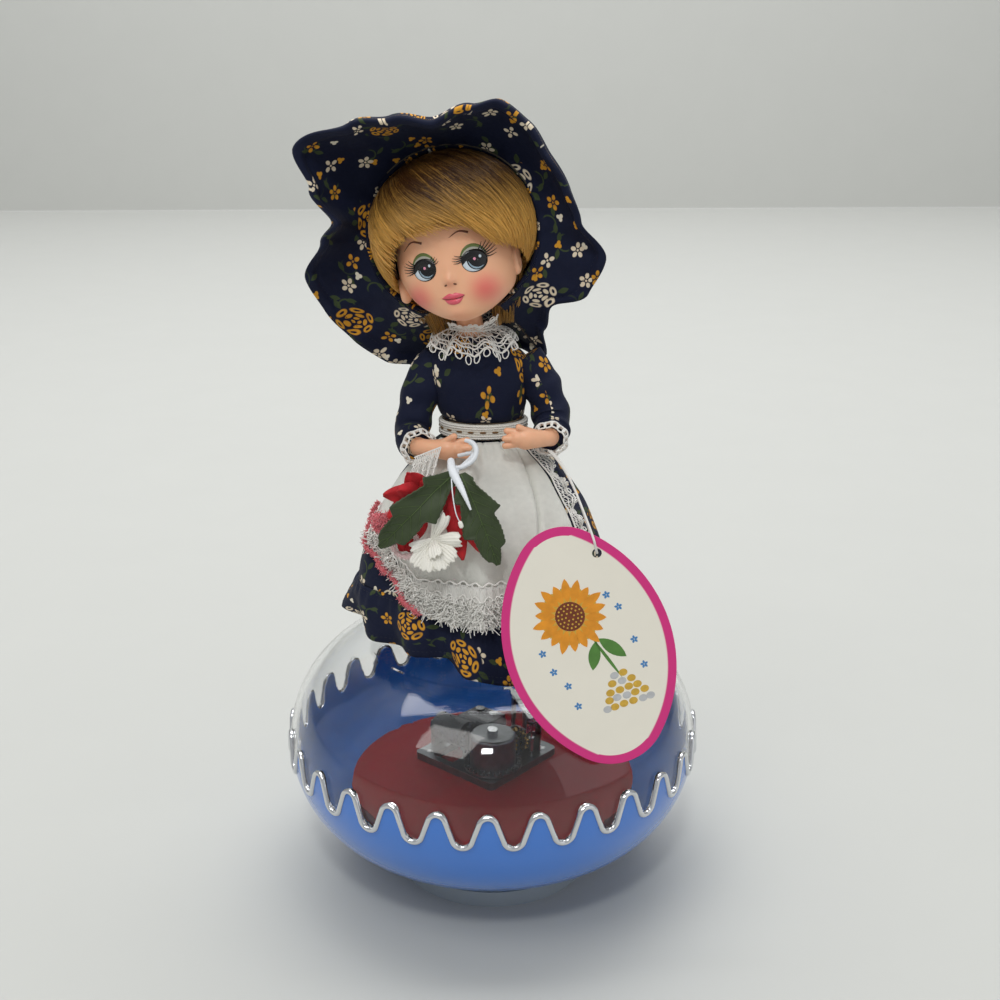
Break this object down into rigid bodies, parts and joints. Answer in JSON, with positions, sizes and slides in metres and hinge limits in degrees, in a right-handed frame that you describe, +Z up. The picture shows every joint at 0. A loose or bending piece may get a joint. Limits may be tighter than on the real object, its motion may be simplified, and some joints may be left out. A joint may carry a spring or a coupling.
{
  "type": "musical doll bank",
  "caption": "Coin globe with a clear dome over a blue bowl, an open wind-up movement inside, and a dressed bonnet doll standing on top with a hang tag",
  "frame": {"origin": "centre of the foot ring's resting plane, on the globe's axis", "axes": "+Z up the globe's axis to the doll's head, the doll faces -Y, +X to the viewer's right"},
  "size_m": [0.1524, 0.1524, 0.2842],
  "materials": {
    "bowl_blue": "gloss cornflower-blue moulded plastic",
    "clear_plastic": "clear gloss moulded plastic, see-through",
    "plug_blue": "blue moulded plastic stopper",
    "clear_foot": "pale see-through grey plastic",
    "floor_red": "dark red moulded plastic",
    "screw_steel": "zinc-plated steel",
    "plate_metal": "dull cast zinc alloy",
    "comb_steel": "bright spring steel",
    "barrel_metal": "plated pressed steel drum",
    "key_metal": "plated wing key",
    "cylinder_brass": "brass",
    "lever_metal": "thin aluminium sheet",
    "stand_white": "off-white moulded plastic",
    "body_cloth": "stuffed plain cotton, vinyl neck",
    "print_cloth": "navy cotton calico with small flowers",
    "band_ribbon": "woven cream ribbon with eyelets",
    "lace_white": "white cotton lace",
    "apron_cloth": "cream-white plain-woven cotton",
    "skin_vinyl": "peach soft vinyl",
    "stem_paper": "paper-wound wire",
    "petal_red": "red velvet",
    "petal_white": "ribbed white satin",
    "leaf_green": "dark green starched cloth",
    "hair_blonde": "golden blonde doll hair",
    "tag_card": "gloss printed card, pink border",
    "string_cotton": "thin white cotton thread"
  },
  "bodies": {
    "base": {"lower_bowl": "bowl_blue", "upper_dome": "clear_plastic", "foot_ring": "clear_foot", "red_floor": "floor_red", "floor_screws": "screw_steel", "bedplate": "plate_metal", "bedplate_screws": "screw_steel", "music_comb": "comb_steel", "comb_screws": "screw_steel", "governor_bracket": "comb_steel", "lever_bracket": "lever_metal", "doll_stand": "stand_white", "stand_screw": "screw_steel", "torso": "body_cloth", "bodice": "print_cloth", "waistband": "band_ribbon", "lace_collar": "lace_white", "skirt": "print_cloth", "skirt_flounce": "print_cloth", "apron": "apron_cloth", "apron_lace": "lace_white", "sleeve_left": "print_cloth", "sleeve_right": "print_cloth", "hand_left": "skin_vinyl", "hand_right": "skin_vinyl", "cuff_left": "lace_white", "cuff_right": "lace_white", "bouquet_stems": "stem_paper", "red_flowers": "petal_red", "white_flower": "petal_white", "leaves": "leaf_green"},
    "plug": {"coin_plug": "plug_blue"},
    "key": {"winding_key": "key_metal", "winding_arbor": "comb_steel"},
    "barrel": {"spring_barrel": "barrel_metal", "mainspring": "comb_steel"},
    "cylinder": {"music_cylinder": "cylinder_brass"},
    "governor": {"governor_wheel": "cylinder_brass"},
    "fly": {"governor_fly": "comb_steel"},
    "lever": {"trip_lever": "lever_metal"},
    "head": {"head": "skin_vinyl", "hair": "hair_blonde", "bonnet_crown": "print_cloth", "bonnet_brim": "print_cloth"},
    "tag": {"hang_tag": "tag_card", "tag_string": "string_cotton"}
  },
  "joints": [
    {"name": "key_turn", "type": "hinge", "parent": "base", "child": "key", "pos_m": [0, 0, 0.01], "axis": [0, 0, 1], "continuous": true},
    {"name": "barrel_turn", "type": "hinge", "parent": "base", "child": "barrel", "pos_m": [0, 0, 0.045], "axis": [0, 0, 1], "continuous": true},
    {"name": "cylinder_turn", "type": "hinge", "parent": "base", "child": "cylinder", "pos_m": [-0.01542, 0.01336, 0.04648], "axis": [-0.7559, 0.6547, 0], "continuous": true},
    {"name": "governor_turn", "type": "hinge", "parent": "base", "child": "governor", "pos_m": [0.01021, 0.01179, 0.04328], "axis": [0.6547, 0.7559, 0], "continuous": true},
    {"name": "fly_turn", "type": "hinge", "parent": "base", "child": "fly", "pos_m": [0.01491, 0.00772, 0.045], "axis": [0, 0, 1], "continuous": true},
    {"name": "lever_trip", "type": "hinge", "parent": "base", "child": "lever", "pos_m": [0.01044, 0.0236, 0.0543], "axis": [-0.9625, -0.2713, 0], "range_deg": [0, 6], "stiffness_Nm_per_rad": 0.004, "springref_deg": -17.19},
    {"name": "plug_pull", "type": "slide", "parent": "base", "child": "plug", "axis": [0, 0.4384, -0.8988], "range_m": [0, 0.01]},
    {"name": "head_turn", "type": "hinge", "parent": "base", "child": "head", "pos_m": [-0.0058, 0, 0.2042], "axis": [-0.1602, -0.3645, 0.9173], "range_deg": [-6, 6]},
    {"name": "tag_swing", "type": "hinge", "parent": "base", "child": "tag", "pos_m": [0.02, -0.0202, 0.1701], "axis": [-1, 0, 0], "range_deg": [0, 40]}
  ],
  "couplings": [
    {"joint": "cylinder_turn", "follows": "barrel_turn", "ratio": 1.6},
    {"joint": "governor_turn", "follows": "barrel_turn", "ratio": 3.2},
    {"joint": "fly_turn", "follows": "barrel_turn", "ratio": 22.4}
  ]
}
